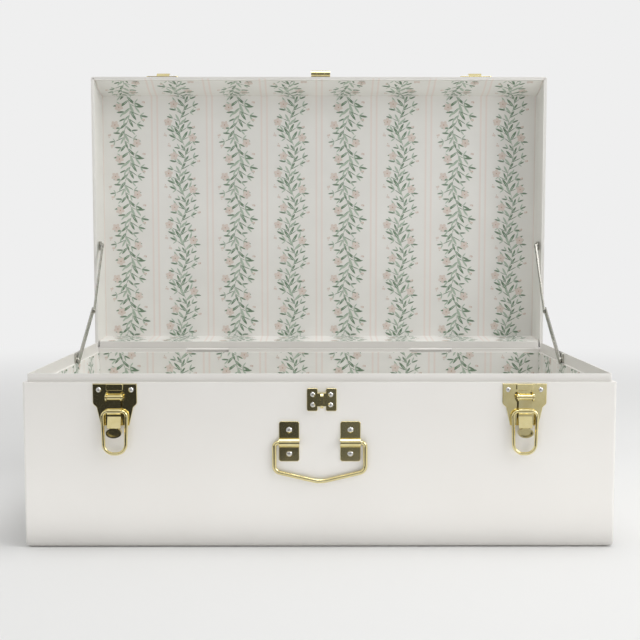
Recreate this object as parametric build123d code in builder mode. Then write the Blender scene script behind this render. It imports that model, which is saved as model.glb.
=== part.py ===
from build123d import *
import os
from math import atan2, degrees, hypot

# A metal keepsake trunk with a hinged lid, two draw latches, a hasp, a carrying handle and folding lid stays.
# Millimetres. The origin is the centre of the underside, +Z is up and the front faces -Y.
# The lid stands open at a right angle, as it rests on its stays.

os.makedirs("parts", exist_ok=True)

# Trunk
trunk_width = 600.0
trunk_depth = 358.6
seam_height = 169.5
lid_height = 57.0
seam_gap = 0.6
sheet = 1.0
corner_radius = 3.0
foot_fold_radius = 6.0
lid_fold_radius = 3.0

# Body hem and the lip frame that the lid closes over
body_hem_width = 4.2
body_hem_drop = 8.0
lip_sheet = 1.2
lip_rise = 8.4
lip_overlap = 11.5
lip_rail_drop = 0.2
lip_corner_radius = 2.0

# Lid hem
lid_hem_depth = 8.0
hinge_flange_width = 9.4
hinge_flange_clearance = 0.3

# Board linings
board = 2.0
body_lining_drop = 4.4
board_clearance = 0.1
lid_board = 1.8
lid_board_setback = 0.4
bowed_board_start = 9.0
bowed_board_middle = (8.6, 27.0)
bowed_board_reach = 14.0
rear_board_lean = 3.0

# Hinges
hinge_offset = 149.0
hinge_length = 56.0
hinge_end_knuckle = 11.0
hinge_leaf_height = 22.0
hinge_leaf_thickness = 1.1
hinge_standoff = 1.3
hinge_drop = 1.8
knuckle_radius = 2.4
hinge_pin_radius = 1.25
running_clearance = 0.05
knuckle_gap = 0.25
notch_clearance = 0.5

# Rivets
rivet_shank_radius = 1.4
small_head_radius = 2.6
large_head_radius = 3.0
head_height = 1.3

# Draw latches, measured down from the seam
latch_offset = 206.5
plate_thickness = 1.2
plate_edge_radius = 0.5
latch_plate_half_width = 22.25
latch_neck_half_width = 18.0
latch_foot_half_width = 14.2
latch_plate_top = 1.4
latch_shoulder_drop = 20.0
latch_neck_drop = 27.5
latch_plate_bottom = 43.8
latch_rivet_offset = 16.3
latch_rivet_drop = 7.5
bridge_width = 16.8
bridge_height = 6.6
bridge_rise = 2.2
lever_width = 13.5
lever_strip = 1.3
lever_pivot_drop = 14.4
lever_pivot_out = 6.2
lever_barrel_radius = 2.5
lever_pin_radius = 1.2
lever_side_gap = 0.3
ear_thickness = 1.2
ear_radius = 3.8
ear_foot_half_height = 5.0
loop_tube_drop = 28.8
loop_tube_out = 5.6
loop_tube_radius = 3.2
loop_wire_radius = 1.65
loop_shoulder_half_width = 12.25
loop_foot_half_width = 10.8
loop_reach = 43.0
loop_shoulder_radius = 5.2
loop_foot_radius = 9.8
lever_bend_drop = 34.0
lever_bend_out = 5.2
lever_tip_drop = 45.5
lever_tip_out = 9.0
finger_cup_half_width = 7.8
finger_cup_half_height = 5.0
finger_cup_wall = 1.2
finger_cup_drop = 50.0
finger_cup_out = 5.5
finger_cup_depth = 6.0

# Lid catches, measured up from the lid's rim
catch_half_width = 20.9
catch_height = 26.0
catch_rise = 0.8
hook_width = 16.8
hook_root = 7.0
hook_turn = 13.2
hook_tip = 19.5
hook_out = 5.6
hook_sheet = 1.3
catch_rivet_offset = 15.0
catch_rivet_height = 17.0

# Carrying handle, measured down from the seam
handle_strap_offset = 31.0
handle_strap_width = 20.5
handle_strap_top = 39.6
handle_strap_bottom = 80.6
handle_strap_radius = 2.5
handle_pivot_drop = 61.2
handle_wire_radius = 2.15
handle_clearance = 0.06
handle_bump_radius = 4.5
handle_pivot_out = 2.4
handle_rivet_drops = (48.4, 72.7)
handle_half_width = 46.0
handle_end_inset = 7.0
handle_corner_drop = 90.5
handle_bottom_drop = 101.3
handle_shoulder_radius = 4.0
handle_corner_radius = 7.0
handle_bottom_radius = 30.0

# Padlock staple on the body and hasp on the lid
hasp_offset = 2.0
staple_half_width = 15.0
staple_top = 6.0
staple_bottom = 29.2
staple_waist_half_width = 4.2
staple_waist_half_height = 7.0
staple_rivet_offset = 9.0
staple_rivet_drops = (12.4, 22.8)
eye_thickness = 3.0
eye_top = 10.0
eye_bottom = 25.0
eye_reach = 14.0
padlock_hole_radius = 3.2
padlock_hole_out = 8.8
hasp_width = 25.0
hasp_knuckle_radius = 4.2
hasp_knuckle_out = 4.7
hasp_knuckle_height = 5.4
hasp_pin_radius = 1.8
hasp_leaf_height = 24.0
hasp_leaf_thickness = 1.2
hasp_strap_thickness = 1.5
hasp_strap_length = 38.0
hasp_slot_width = 5.0
hasp_slot_length = 17.5
hasp_middle_knuckle = 10.0
hasp_rivet_height = 19.0
hasp_rivet_offset = 6.5
hasp_lip_rise = 3.2

# Folding lid stays, in the side planes: pivots on one circle about the hinge pin
stay_lid_pivot_rise = 10.0
stay_arm_length = 103.2
stay_pivot_circle = 1.3411 * stay_arm_length
stay_arm = 1.5
stay_lower_radius = 4.5
stay_upper_radius = 3.6
stay_face_gap = 0.2
stay_wall_gap = 0.4
stay_pin_radius = 1.5
stay_pin_head_radius = 2.5
stay_pin_head = 0.6
stay_bracket_half_length = 9.0
stay_bracket_rise = 12.0
stay_bracket_leg_radius = 4.0
stay_bracket_sheet = 1.5
stay_bracket_foot_height = 12.0

front_y = -trunk_depth / 2
rear_y = trunk_depth / 2
lid_rim_height = seam_height + seam_gap
hinge_y = rear_y + hinge_standoff
hinge_z = seam_height - hinge_drop
lip_inset = body_hem_width
lip_inner_inset = body_hem_width + lip_sheet
lid_hem_width = 2 * sheet
lid_lining_inset = lid_hem_width + lid_board


def opened(x, y, z):
    """A point of the closed lid, turned a right angle back about the hinge pin."""
    return (x, hinge_y + (z - hinge_z), hinge_z - (y - hinge_y))


def front_plane(x):
    """The body's front face, at the seam: local y is up, local z is outwards."""
    return Plane(origin=(x, front_y, seam_height), x_dir=(1, 0, 0), z_dir=(0, -1, 0))


def front_side_plane(x):
    """Cuts the front hardware along its length: local x is outwards, local y is up from the seam."""
    return Plane(origin=(x, front_y, seam_height), x_dir=(0, -1, 0), z_dir=(-1, 0, 0))


def rear_plane(x):
    """The body's rear face, at the hinge pin's height."""
    return Plane(origin=(x, rear_y, hinge_z), x_dir=(-1, 0, 0), z_dir=(0, 1, 0))


def lid_front_plane(x):
    """The open lid's front wall, at its rim: local y runs from the rim to the lid's top."""
    return Plane(origin=opened(x, front_y, lid_rim_height), x_dir=(1, 0, 0), z_dir=(0, 0, 1))


def lid_side_plane(x):
    """Cuts the lid's front hardware along its length: local x is outwards, local y is away from the rim."""
    return Plane(origin=opened(x, front_y, lid_rim_height), x_dir=(0, 0, 1), z_dir=(-1, 0, 0))


def lid_rear_plane(x):
    """The open lid's rear wall, at the hinge pin."""
    return Plane(origin=opened(x, rear_y, hinge_z), x_dir=(-1, 0, 0), z_dir=(0, 0, -1))


def stay_plane(x):
    """A side plane through the hinge pin: local x is forwards, local y is up."""
    return Plane(origin=(x, hinge_y, hinge_z), x_dir=(0, -1, 0), z_dir=(-1, 0, 0))


body_rim = Plane.XY.offset(seam_height)
lid_rim = Plane(origin=opened(0, 0, lid_rim_height), x_dir=(1, 0, 0), z_dir=(0, 1, 0))
lid_panel = Plane(origin=opened(0, 0, lid_rim_height + lid_height), x_dir=(1, 0, 0), z_dir=(0, -1, 0))
hinge_places = (-hinge_offset, hinge_offset)
sides = {"left": -1, "right": 1}


def write(piece, name):
    piece.label = name
    export_step(piece, f"parts/{name}.step")


def inset_outline(inset, radius, mode=Mode.ADD):
    """The trunk's plan, taken in by an inset."""
    RectangleRounded(trunk_width - 2 * inset, trunk_depth - 2 * inset, radius, mode=mode)


def ring_outline(outer_inset, outer_radius, inner_inset, inner_radius):
    inset_outline(outer_inset, outer_radius)
    inset_outline(inner_inset, inner_radius, mode=Mode.SUBTRACT)


def rounded_block(panel, inset, height, upright_radius, fold_radius):
    """A block on the panel plane with folded edges round the panel and rounded uprights."""
    with BuildPart() as block:
        with BuildSketch(panel):
            Rectangle(trunk_width - 2 * inset, trunk_depth - 2 * inset)
        extrude(amount=height)
        folds = block.edges().filter_by(lambda e: abs(panel.to_local_coords(e.center()).Z) < 0.01)
        if fold_radius == upright_radius:
            fillet(folds + block.edges().filter_by(Axis(panel.origin, panel.z_dir)), fold_radius)
        else:
            fillet(folds, fold_radius)
            fillet(block.edges().filter_by(Axis(panel.origin, panel.z_dir)), upright_radius)
    return block.part


def folded_tray(panel, height, fold_radius):
    """A sheet tray whose floor lies on the panel plane."""
    inner_panel = panel.offset(sheet)
    hollow = rounded_block(inner_panel, sheet, height, corner_radius - sheet, fold_radius - sheet)
    with BuildPart() as tray:
        add(rounded_block(panel, 0, height, corner_radius, fold_radius))
        add(hollow, mode=Mode.SUBTRACT)
    return tray.part


def rivet_group(planes, head_radius, grip):
    """Dome-headed rivets that stand on the planes, with shanks that go the grip's length behind them."""
    dome_radius = (head_radius ** 2 + head_height ** 2) / (2 * head_height)
    dome_centre = head_height - dome_radius
    with BuildPart() as rivet:
        with BuildSketch(Plane.XZ):
            with BuildLine():
                Polyline((0, head_height), (0, -grip), (rivet_shank_radius, -grip), (rivet_shank_radius, 0),
                         (head_radius, 0))
                half_way = (head_radius / 2, dome_centre + (dome_radius ** 2 - (head_radius / 2) ** 2) ** 0.5)
                ThreePointArc((head_radius, 0), half_way, (0, head_height))
            make_face()
        revolve(axis=Axis.Z)
    with BuildPart() as rivets:
        with Locations(*planes):
            add(rivet.part)
    return rivets.part


def soften_front(axis, end):
    """Rounds the edges of the current part's outermost face along an axis."""
    fillet(faces().sort_by(axis)[end].edges(), plate_edge_radius)


def moved(plane, x, y, z=0.0):
    """The same plane, with its origin at a local point."""
    return Plane(origin=plane.from_local_coords((x, y, z)), x_dir=plane.x_dir, z_dir=plane.z_dir)


# Rivet places on the outer faces of the shells
latch_rivet_faces = [
    moved(front_plane(side * latch_offset), across * latch_rivet_offset, -latch_rivet_drop)
    for side in sides.values() for across in (-1, 1)
]
handle_rivet_faces = [
    moved(front_plane(side * handle_strap_offset), 0, -drop)
    for side in sides.values() for drop in handle_rivet_drops
]
staple_rivet_faces = [
    moved(front_plane(hasp_offset), across * staple_rivet_offset, -drop)
    for across in (-1, 1) for drop in staple_rivet_drops
]
catch_rivet_faces = [
    moved(lid_front_plane(side * latch_offset), across * catch_rivet_offset, catch_rivet_height)
    for side in sides.values() for across in (-1, 1)
]
hasp_rivet_faces = [
    moved(lid_front_plane(hasp_offset), across * hasp_rivet_offset, hasp_rivet_height) for across in (-1, 1)
]
hinge_rivet_height = hinge_leaf_height * 0.62
hinge_rivet_pitch = hinge_length / 3
hinge_rivet_points = [(across * hinge_rivet_pitch, hinge_rivet_height) for across in (-1, 0, 1)]
hinge_body_rivet_faces = [moved(rear_plane(x), dx, -dy) for x in hinge_places for dx, dy in hinge_rivet_points]
hinge_lid_rivet_faces = [moved(lid_rear_plane(x), dx, dy) for x in hinge_places for dx, dy in hinge_rivet_points]


def rivet_holes(planes, above, below):
    """Cutters for rivet shanks, from above the planes to below them."""
    with BuildPart() as holes:
        with BuildSketch(*[p.offset(above) for p in planes]):
            Circle(rivet_shank_radius)
        extrude(amount=-(above + below))
    return holes.part


# Body shell: folded tray with its edge turned in and down
notch_half_length = hinge_length / 2 + notch_clearance
notch_reach = knuckle_radius + notch_clearance
with BuildPart() as body_shell:
    add(folded_tray(Plane.XY, seam_height, foot_fold_radius))
    with BuildSketch(body_rim.offset(-sheet)):
        ring_outline(sheet, corner_radius - sheet, body_hem_width, lip_corner_radius)
    extrude(amount=sheet)
    with BuildSketch(body_rim.offset(-body_hem_drop)):
        ring_outline(body_hem_width - sheet, lip_corner_radius + sheet, body_hem_width, lip_corner_radius)
    extrude(amount=body_hem_drop)
    with Locations(*[(x, rear_y, hinge_z) for x in hinge_places]):
        Box(2 * notch_half_length, 2 * lip_inner_inset + 1, 2 * notch_reach, mode=Mode.SUBTRACT)
    front_rivets = latch_rivet_faces + handle_rivet_faces + staple_rivet_faces
    add(rivet_holes(front_rivets + hinge_body_rivet_faces, 0, sheet), mode=Mode.SUBTRACT)
write(body_shell.part, "body_shell")

# Lip frame: tall on the front and the sides, cut down to a rail along the rear
lip_bottom_height = seam_height - lip_overlap
with BuildPart() as lip_frame:
    with BuildSketch(Plane.XY.offset(lip_bottom_height)):
        ring_outline(lip_inset, lip_corner_radius, lip_inner_inset, lip_corner_radius - lip_sheet)
    extrude(amount=lip_overlap + lip_rise)
    # The cut starts where the side strips are still straight, so that the lid's flange swings past their ends
    with Locations((0, rear_y - lip_inner_inset - lip_corner_radius, seam_height - lip_rail_drop)):
        Box(trunk_width, 2 * (lip_inner_inset + lip_corner_radius), 2 * lip_rise, mode=Mode.SUBTRACT,
            align=(Align.CENTER, Align.MIN, Align.MIN))
    with Locations(*[(x, rear_y, hinge_z) for x in hinge_places]):
        Box(2 * notch_half_length, 2 * lip_inner_inset + 1, 2 * notch_reach, mode=Mode.SUBTRACT)
    stay_holes = [
        moved(stay_plane(side * (trunk_width / 2 - lip_inset)), stay_pivot_circle, 0)
        for side in sides.values()
    ]
    with BuildSketch(*stay_holes):
        Circle(stay_pin_radius)
    extrude(amount=2 * lip_sheet, both=True, mode=Mode.SUBTRACT)
write(lip_frame.part, "lip_frame")

# Board linings of the body
floor_lining_top = sheet + board
lining_top = seam_height - body_lining_drop
side_lining_x = trunk_width / 2 - lip_inner_inset
end_lining_y = trunk_depth / 2 - lip_inner_inset
with BuildPart() as body_floor_lining:
    with BuildSketch(Plane.XY.offset(sheet)):
        Rectangle(trunk_width - 2 * (foot_fold_radius + board_clearance),
                  trunk_depth - 2 * (foot_fold_radius + board_clearance))
    extrude(amount=board)
write(body_floor_lining.part, "body_floor_lining")

for name, side in sides.items():
    with BuildPart() as side_lining:
        with BuildSketch(Plane.XY.offset(floor_lining_top)):
            with Locations((side * (side_lining_x - board / 2), 0)):
                Rectangle(board, 2 * (end_lining_y - (lip_corner_radius - lip_sheet)))
        extrude(amount=lining_top - floor_lining_top)
    write(side_lining.part, f"body_{name}_lining")

for name, side in {"front": -1, "rear": 1}.items():
    with BuildPart() as end_lining:
        with BuildSketch(Plane.XY.offset(floor_lining_top)):
            with Locations((0, side * (end_lining_y - board / 2))):
                Rectangle(2 * (side_lining_x - board - board_clearance), board)
        extrude(amount=lining_top - floor_lining_top)
    write(end_lining.part, f"body_{name}_lining")

# Lid shell: folded tray with a flat hem and a flange along the hinge side
hinge_flange_half_length = trunk_width / 2 - lip_inner_inset - hinge_flange_clearance
with BuildPart() as lid_shell:
    add(folded_tray(lid_panel, lid_height, lid_fold_radius))
    with BuildSketch(lid_rim):
        ring_outline(sheet, corner_radius - sheet, lid_hem_width, corner_radius - lid_hem_width)
    extrude(amount=lid_hem_depth)
    with BuildSketch(lid_rim):
        with Locations((0, trunk_depth / 2 - (sheet + hinge_flange_width) / 2)):
            Rectangle(2 * hinge_flange_half_length, hinge_flange_width - sheet)
    extrude(amount=sheet)
    with Locations(*[opened(x, rear_y, hinge_z) for x in hinge_places]):
        Box(2 * notch_half_length, 2 * notch_reach, 2 * (notch_reach - hinge_standoff), mode=Mode.SUBTRACT)
    lid_rivets = hinge_lid_rivet_faces + catch_rivet_faces + hasp_rivet_faces
    add(rivet_holes(lid_rivets, 0, sheet), mode=Mode.SUBTRACT)
write(lid_shell.part, "lid_shell")

# Board linings of the lid
lid_lining_depth = lid_height - sheet - board
with BuildPart() as lid_top_lining:
    with BuildSketch(lid_rim.offset(lid_lining_depth)):
        inset_outline(lid_fold_radius + board_clearance, corner_radius - sheet)
    extrude(amount=board)
write(lid_top_lining.part, "lid_top_lining")

lid_side_lining_x = trunk_width / 2 - lid_lining_inset
for name, side in sides.items():
    with BuildPart() as side_lining:
        with BuildSketch(lid_rim.offset(lid_board_setback)):
            with Locations((side * (lid_side_lining_x + lid_board / 2), 0)):
                Rectangle(lid_board, trunk_depth - 2 * corner_radius)
        extrude(amount=lid_lining_depth - lid_board_setback)
    write(side_lining.part, f"lid_{name}_lining")

# Profiles across the lid: local x is the distance in from the wall, local y the depth from the rim
lid_board_half_length = lid_side_lining_x - board_clearance
front_profile = Plane(origin=opened(0, front_y, lid_rim_height), x_dir=(0, 0, -1), z_dir=(1, 0, 0))
rear_profile = Plane(origin=opened(0, rear_y, lid_rim_height), x_dir=(0, 0, 1), z_dir=(-1, 0, 0))
with BuildPart() as lid_front_lining:
    with BuildSketch(front_profile):
        with BuildLine():
            start = (lid_lining_inset, bowed_board_start)
            middle = (lid_lining_inset + bowed_board_middle[0], bowed_board_middle[1])
            end = (lid_lining_inset + bowed_board_reach, lid_lining_depth)
            outer_start, outer_middle, outer_end = [(x - lid_board, y) for x, y in (start, middle, end)]
            Polyline(start, (lid_lining_inset, lid_board_setback), (lid_hem_width, lid_board_setback), outer_start)
            ThreePointArc(outer_start, outer_middle, outer_end)
            Line(outer_end, end)
            ThreePointArc(end, middle, start)
        make_face()
    extrude(amount=lid_board_half_length, both=True)
write(lid_front_lining.part, "lid_front_lining")

with BuildPart() as lid_rear_lining:
    with BuildSketch(rear_profile):
        with BuildLine():
            foot = hinge_flange_width
            head = hinge_flange_width + rear_board_lean
            Polyline((foot - lid_board, sheet), (foot, sheet), (head, lid_lining_depth),
                     (head - lid_board, lid_lining_depth), close=True)
        make_face()
    extrude(amount=lid_board_half_length, both=True)
    # Its lower corners clear the lip's side rails
    with BuildSketch(lid_rim):
        for end in (-1, 1):
            with Locations((end * (hinge_flange_half_length + body_hem_width), 0)):
                Rectangle(2 * body_hem_width, trunk_depth)
    extrude(amount=bowed_board_start, mode=Mode.SUBTRACT)
write(lid_rear_lining.part, "lid_rear_lining")

# Hinges: the body leaf has the two end knuckles, the lid leaf the middle one
middle_knuckle = hinge_length - 2 * hinge_end_knuckle - 2 * knuckle_gap
hinge_bore_radius = hinge_pin_radius + running_clearance
leaf_top = knuckle_radius * 0.8


def hinge_leaf(face, up, end_leaf):
    """A leaf that lies on a wall's face, with knuckles about the pin. up is 1 where the leaf rises from the pin."""
    length_axis = Plane(origin=face.from_local_coords((0, 0, hinge_standoff)), x_dir=face.z_dir, z_dir=face.x_dir)
    knuckle_half = hinge_length / 2
    with BuildPart() as leaf:
        with BuildSketch(face):
            with Locations((0, up * (hinge_leaf_height + leaf_top) / 2)):
                Rectangle(hinge_length, hinge_leaf_height - leaf_top)
        extrude(amount=hinge_leaf_thickness)
        fillet(leaf.edges().filter_by(Axis(face.origin, face.z_dir)).sort_by(
            lambda e: up * face.to_local_coords(e.center()).Y)[-2:], 2.0)
        if end_leaf:
            with BuildSketch(length_axis):
                Circle(knuckle_radius + knuckle_gap)
            extrude(amount=middle_knuckle / 2 + knuckle_gap, both=True, mode=Mode.SUBTRACT)
            for end in (-1, 1):
                with BuildSketch(length_axis.offset(end * (knuckle_half - hinge_end_knuckle / 2))):
                    Circle(knuckle_radius)
                extrude(amount=hinge_end_knuckle / 2, both=True)
        else:
            for end in (-1, 1):
                with BuildSketch(length_axis.offset(end * knuckle_half)):
                    Circle(knuckle_radius + knuckle_gap)
                extrude(amount=-end * (hinge_end_knuckle + knuckle_gap), mode=Mode.SUBTRACT)
            with BuildSketch(length_axis):
                Circle(knuckle_radius)
            extrude(amount=middle_knuckle / 2, both=True)
        with BuildSketch(length_axis):
            Circle(hinge_bore_radius)
        extrude(amount=hinge_length, both=True, mode=Mode.SUBTRACT)
        holes = [moved(face, dx, up * dy) for dx, dy in hinge_rivet_points]
        with BuildSketch(*holes):
            Circle(rivet_shank_radius)
        extrude(amount=hinge_leaf_thickness, mode=Mode.SUBTRACT)
    return leaf.part


for name, side in sides.items():
    write(hinge_leaf(rear_plane(side * hinge_offset), -1, True), f"hinge_body_leaf_{name}")
    write(hinge_leaf(lid_rear_plane(side * hinge_offset), 1, False), f"hinge_lid_leaf_{name}")
    with BuildPart() as hinge_pin:
        with BuildSketch(Plane.YZ.offset(side * hinge_offset)):
            with Locations((hinge_y, hinge_z)):
                Circle(hinge_pin_radius)
        extrude(amount=hinge_length / 2, both=True)
    write(hinge_pin.part, f"hinge_pin_{name}")
hinge_grip = hinge_leaf_thickness + sheet
write(rivet_group([p.offset(hinge_leaf_thickness) for p in hinge_body_rivet_faces], small_head_radius, hinge_grip),
      "hinge_body_rivets")
write(rivet_group([p.offset(hinge_leaf_thickness) for p in hinge_lid_rivet_faces], small_head_radius, hinge_grip),
      "hinge_lid_rivets")

# Draw latches: plate with ears, pin, lever and wire loop
ear_offset = lever_width / 2 + lever_side_gap + ear_thickness / 2
bridge_middle = -(latch_plate_top + bridge_height / 2)
for name, side in sides.items():
    latch_x = side * latch_offset
    face = front_plane(latch_x)
    with BuildPart() as latch_plate:
        with BuildSketch(face):
            with BuildLine():
                Polyline((0, -latch_plate_top), (latch_plate_half_width, -latch_plate_top),
                         (latch_plate_half_width, -latch_shoulder_drop))
                Spline((latch_plate_half_width, -latch_shoulder_drop), (latch_neck_half_width, -latch_neck_drop),
                       tangents=((0, -1), (0, -1)))
                Polyline((latch_neck_half_width, -latch_neck_drop), (latch_foot_half_width, -latch_plate_bottom),
                         (0, -latch_plate_bottom))
                mirror(about=Plane.YZ)
            make_face()
        extrude(amount=plate_thickness)
        soften_front(Axis.Y, 0)
        with BuildSketch(face.offset(plate_thickness)):
            with Locations((0, bridge_middle)):
                RectangleRounded(bridge_width, bridge_height, bridge_height / 5)
        extrude(amount=bridge_rise)
        soften_front(Axis.Y, 0)
        for end in (-1, 1):
            with BuildSketch(front_side_plane(latch_x + end * ear_offset)):
                with Locations((lever_pivot_out, -lever_pivot_drop)):
                    Circle(ear_radius)
                with Locations((plate_thickness / 2, -lever_pivot_drop)):
                    Rectangle(plate_thickness, 2 * ear_foot_half_height)
                make_hull()
            extrude(amount=ear_thickness / 2, both=True)
        with BuildSketch(front_side_plane(latch_x)):
            with Locations((lever_pivot_out, -lever_pivot_drop)):
                Circle(lever_pin_radius)
        extrude(amount=latch_plate_half_width, both=True, mode=Mode.SUBTRACT)
        add(rivet_holes(latch_rivet_faces, plate_thickness, 0), mode=Mode.SUBTRACT)
    write(latch_plate.part, f"latch_plate_{name}")

    pin_half_length = ear_offset + ear_thickness / 2
    with BuildPart() as latch_pin:
        with BuildSketch(front_side_plane(latch_x)):
            with Locations((lever_pivot_out, -lever_pivot_drop)):
                Circle(lever_pin_radius)
        extrude(amount=pin_half_length, both=True)
        for end in (-1, 1):
            with BuildSketch(front_side_plane(latch_x + end * pin_half_length)):
                with Locations((lever_pivot_out, -lever_pivot_drop)):
                    Circle(lever_pin_radius * 1.6)
            extrude(amount=-end * 0.7)
    write(latch_pin.part, f"latch_pin_{name}")

    with BuildPart() as latch_lever:
        with BuildSketch(front_side_plane(latch_x)):
            with BuildLine():
                Polyline((lever_pivot_out - 0.5, -lever_pivot_drop), (lever_bend_out, -lever_bend_drop),
                         (lever_tip_out, -lever_tip_drop))
            trace(line_width=lever_strip)
            with Locations((lever_pivot_out, -lever_pivot_drop)):
                Circle(lever_barrel_radius)
            with Locations((loop_tube_out, -loop_tube_drop)):
                Circle(loop_tube_radius)
        extrude(amount=lever_width / 2, both=True)
        with BuildSketch(front_plane(latch_x).offset(finger_cup_out)):
            with Locations((0, -finger_cup_drop)):
                Ellipse(finger_cup_half_width, finger_cup_half_height)
        extrude(amount=finger_cup_depth)
        with BuildSketch(front_plane(latch_x).offset(finger_cup_out + 1.5 * finger_cup_wall)):
            with Locations((0, -finger_cup_drop)):
                Ellipse(finger_cup_half_width - finger_cup_wall, finger_cup_half_height - finger_cup_wall)
        extrude(amount=finger_cup_depth, mode=Mode.SUBTRACT)
        with BuildSketch(front_side_plane(latch_x)):
            with Locations((lever_pivot_out, -lever_pivot_drop)):
                Circle(lever_pin_radius + running_clearance)
            with Locations((loop_tube_out, -loop_tube_drop)):
                Circle(loop_wire_radius + running_clearance)
        extrude(amount=lever_width, both=True, mode=Mode.SUBTRACT)
    write(latch_lever.part, f"latch_lever_{name}")

    with BuildPart() as latch_loop:
        with BuildLine(face.offset(loop_tube_out)) as wire:
            bottom = -loop_tube_drop - loop_reach
            FilletPolyline((loop_shoulder_half_width, -loop_tube_drop), (loop_foot_half_width, bottom),
                           (-loop_foot_half_width, bottom), (-loop_shoulder_half_width, -loop_tube_drop),
                           radius=(loop_shoulder_radius, loop_foot_radius, loop_foot_radius, loop_shoulder_radius),
                           close=True)
        with BuildSketch(Plane(origin=wire.line @ 0, z_dir=wire.line % 0)):
            Circle(loop_wire_radius)
        sweep()
    write(latch_loop.part, f"latch_loop_{name}")

    # The catch on the lid: a plate with a hook whose mouth faces away from the rim
    lid_face = lid_front_plane(latch_x)
    with BuildPart() as catch:
        with BuildSketch(lid_face):
            with Locations((0, catch_rise + catch_height / 2)):
                RectangleRounded(2 * catch_half_width, catch_height, 2.5)
        extrude(amount=plate_thickness)
        soften_front(Axis.Z, -1)
        with BuildSketch(lid_side_plane(latch_x)):
            with BuildLine():
                Polyline((plate_thickness / 2, hook_root), (hook_out, hook_turn), (hook_out + 0.6, hook_tip))
            trace(line_width=hook_sheet)
        extrude(amount=hook_width / 2, both=True)
        with BuildSketch(lid_face.offset(-hook_sheet)):
            Rectangle(trunk_width, 4 * catch_height)
        extrude(amount=hook_sheet, mode=Mode.SUBTRACT)
        add(rivet_holes(catch_rivet_faces, plate_thickness, 0), mode=Mode.SUBTRACT)
    write(catch.part, f"catch_{name}")

front_grip = plate_thickness + sheet
write(rivet_group([p.offset(plate_thickness) for p in latch_rivet_faces], small_head_radius, front_grip),
      "latch_rivets")
write(rivet_group([p.offset(plate_thickness) for p in catch_rivet_faces], small_head_radius, front_grip),
      "catch_rivets")

# Carrying handle: two straps with a half-round bump, and a wire bail
for name, side in sides.items():
    strap_x = side * handle_strap_offset
    with BuildPart() as handle_strap:
        with BuildSketch(front_plane(strap_x)):
            with Locations((0, -(handle_strap_top + handle_strap_bottom) / 2)):
                RectangleRounded(handle_strap_width, handle_strap_bottom - handle_strap_top, handle_strap_radius)
        extrude(amount=plate_thickness)
        soften_front(Axis.Y, 0)
        with BuildSketch(front_side_plane(strap_x)):
            with Locations((handle_pivot_out, -handle_pivot_drop)):
                Circle(handle_bump_radius)
            with Locations((-trunk_depth / 2, -handle_pivot_drop)):
                Rectangle(trunk_depth, 4 * handle_bump_radius, mode=Mode.SUBTRACT)
        extrude(amount=handle_strap_width / 2, both=True)
        with BuildSketch(front_side_plane(strap_x)):
            with Locations((handle_pivot_out, -handle_pivot_drop)):
                Circle(handle_wire_radius + handle_clearance)
        extrude(amount=handle_strap_width, both=True, mode=Mode.SUBTRACT)
        add(rivet_holes(handle_rivet_faces, plate_thickness, 0), mode=Mode.SUBTRACT)
    write(handle_strap.part, f"handle_strap_{name}")
write(rivet_group([p.offset(plate_thickness) for p in handle_rivet_faces], large_head_radius, front_grip),
      "handle_rivets")

handle_end = handle_strap_offset - handle_end_inset
with BuildPart() as handle_bail:
    with BuildLine(front_plane(0).offset(handle_pivot_out)) as wire:
        FilletPolyline((-handle_end, -handle_pivot_drop), (-handle_half_width, -handle_pivot_drop),
                       (-handle_half_width, -handle_corner_drop), (0, -handle_bottom_drop),
                       (handle_half_width, -handle_corner_drop), (handle_half_width, -handle_pivot_drop),
                       (handle_end, -handle_pivot_drop),
                       radius=(handle_shoulder_radius, handle_corner_radius, handle_bottom_radius,
                               handle_corner_radius, handle_shoulder_radius))
    with BuildSketch(Plane(origin=wire.line @ 0, z_dir=wire.line % 0)):
        Circle(handle_wire_radius)
    sweep()
write(handle_bail.part, "handle_bail")

# Padlock staple: two leaves with a waist between them, and an eye that stands out of the waist
staple_middle = -(staple_top + staple_bottom) / 2
with BuildPart() as staple_plate:
    with BuildSketch(front_plane(hasp_offset)):
        leaf_width = staple_half_width - staple_waist_half_width
        for end in (-1, 1):
            with Locations((end * (staple_half_width - leaf_width / 2), staple_middle)):
                RectangleRounded(leaf_width, staple_bottom - staple_top, 1.5)
        with Locations((0, staple_middle)):
            Rectangle(4 * staple_waist_half_width, 2 * staple_waist_half_height)
    extrude(amount=plate_thickness)
    soften_front(Axis.Y, 0)
    with BuildSketch(front_side_plane(hasp_offset)):
        eye_middle = -(eye_top + eye_bottom) / 2
        with Locations((eye_reach / 2, eye_middle)):
            RectangleRounded(eye_reach, eye_bottom - eye_top, 3.5)
        with Locations((eye_reach / 4, eye_middle)):
            Rectangle(eye_reach / 2, eye_bottom - eye_top)
    extrude(amount=eye_thickness / 2, both=True)
    with BuildSketch(front_side_plane(hasp_offset)):
        with Locations((padlock_hole_out, eye_middle)):
            Circle(padlock_hole_radius)
    extrude(amount=eye_thickness, both=True, mode=Mode.SUBTRACT)
    add(rivet_holes(staple_rivet_faces, plate_thickness, 0), mode=Mode.SUBTRACT)
write(staple_plate.part, "staple_plate")
write(rivet_group([p.offset(plate_thickness) for p in staple_rivet_faces], small_head_radius, front_grip),
      "staple_rivets")

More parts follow.
